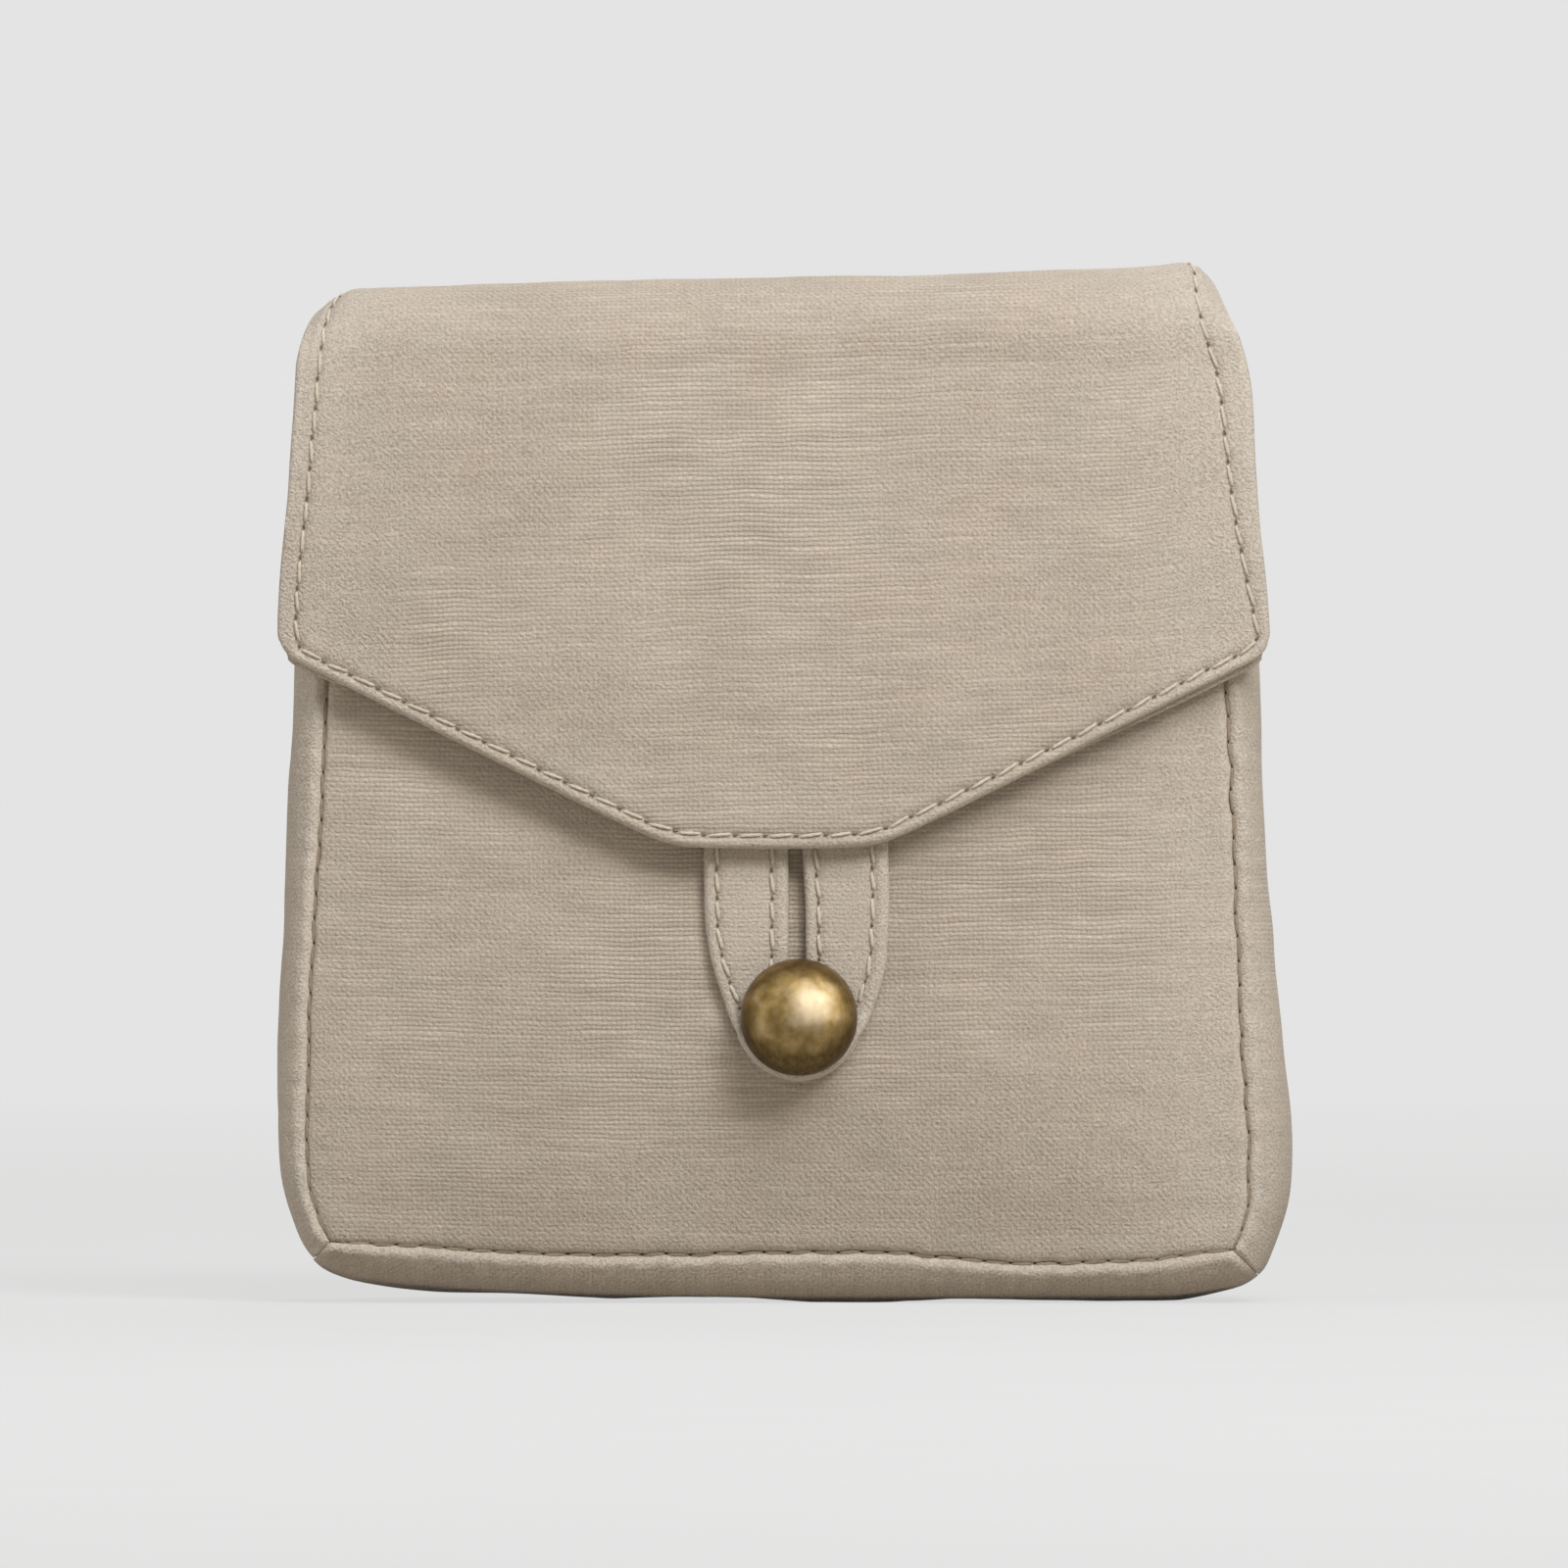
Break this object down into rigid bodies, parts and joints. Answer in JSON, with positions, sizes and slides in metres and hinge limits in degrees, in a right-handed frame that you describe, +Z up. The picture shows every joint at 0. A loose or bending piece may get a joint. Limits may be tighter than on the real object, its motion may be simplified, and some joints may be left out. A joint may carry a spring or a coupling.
{
  "type": "linen pouch",
  "caption": "Small boxed linen pouch: padded and lined walls, a pointed flap over the mouth, and a slit tab on the flap that buttons over a domed brass shank button.",
  "frame": {"origin": "middle of the flat base that the pouch stands on", "axes": "+Z up from the base to the flap's fold, +X across the width, -Y out of the front, where the flap and its button are"},
  "size_m": [0.1311, 0.0477, 0.1328],
  "materials": {
    "linen": "plain-woven natural linen, matt with a faint fuzz",
    "lining": "plain thin cotton lining, matt",
    "padding": "soft needled fleece, matt",
    "thread": "twisted linen sewing thread, slightly waxed",
    "brass": "aged brass, satin, darker in the hollows"
  },
  "bodies": {
    "pouch_body": {"front_panel": "linen", "front_padding": "padding", "front_lining": "lining", "back_panel": "linen", "back_padding": "padding", "back_lining": "lining", "left_gusset": "linen", "left_gusset_padding": "padding", "left_gusset_lining": "lining", "right_gusset": "linen", "right_gusset_padding": "padding", "right_gusset_lining": "lining", "bottom_gusset": "linen", "bottom_gusset_padding": "padding", "bottom_gusset_lining": "lining", "front_mouth_hem": "linen", "back_mouth_hem": "linen", "left_mouth_hem": "linen", "right_mouth_hem": "linen", "flap_tail": "linen", "button_patch": "lining", "front_seam_stitch": "thread", "back_seam_stitch": "thread", "left_corner_stitch": "thread", "right_corner_stitch": "thread", "front_mouth_stitch": "thread", "lower_tail_stitch": "thread", "upper_tail_stitch": "thread"},
    "flap_top": {"flap_top_face": "linen", "flap_top_padding": "padding", "flap_top_lining": "lining", "left_flap_top_stitch": "thread", "right_flap_top_stitch": "thread"},
    "flap_front": {"flap_front_face": "linen", "flap_front_padding": "padding", "flap_front_lining": "lining", "flap_front_stitch": "thread", "tab_root": "linen"},
    "tab": {"tab_face": "linen", "tab_backing": "linen", "tab_edge_stitch": "thread", "tab_slit_stitch": "thread"},
    "button_shank": {"button_thread": "thread"},
    "button": {"button_dome": "brass", "button_back_plate": "brass", "button_eye": "brass"}
  },
  "joints": [
    {"name": "flap_hinge", "type": "hinge", "parent": "pouch_body", "child": "flap_top", "pos_m": [0, 0.01805, 0.12835], "axis": [-1, 0, 0], "range_deg": [0, 230], "deforming": ["tab_face", "tab_backing", "tab_edge_stitch", "tab_slit_stitch"]},
    {"name": "flap_fold", "type": "hinge", "parent": "flap_top", "child": "flap_front", "pos_m": [0, -0.01842, 0.12987], "axis": [-1, 0, 0], "range_deg": [0, 90]},
    {"name": "tab_bend", "type": "hinge", "parent": "flap_front", "child": "tab", "pos_m": [0.0032, -0.0218, 0.0584], "axis": [-1, 0, 0], "range_deg": [0, 90]},
    {"name": "button_turn", "type": "hinge", "parent": "pouch_body", "child": "button_shank", "pos_m": [0.0032, -0.0195, 0.0373], "axis": [0, -1, 0], "range_deg": [-15, 15]},
    {"name": "button_tilt", "type": "hinge", "parent": "button_shank", "child": "button", "pos_m": [0.0032, -0.02135, 0.0373], "axis": [1, 0, 0], "range_deg": [-10, 10]}
  ]
}
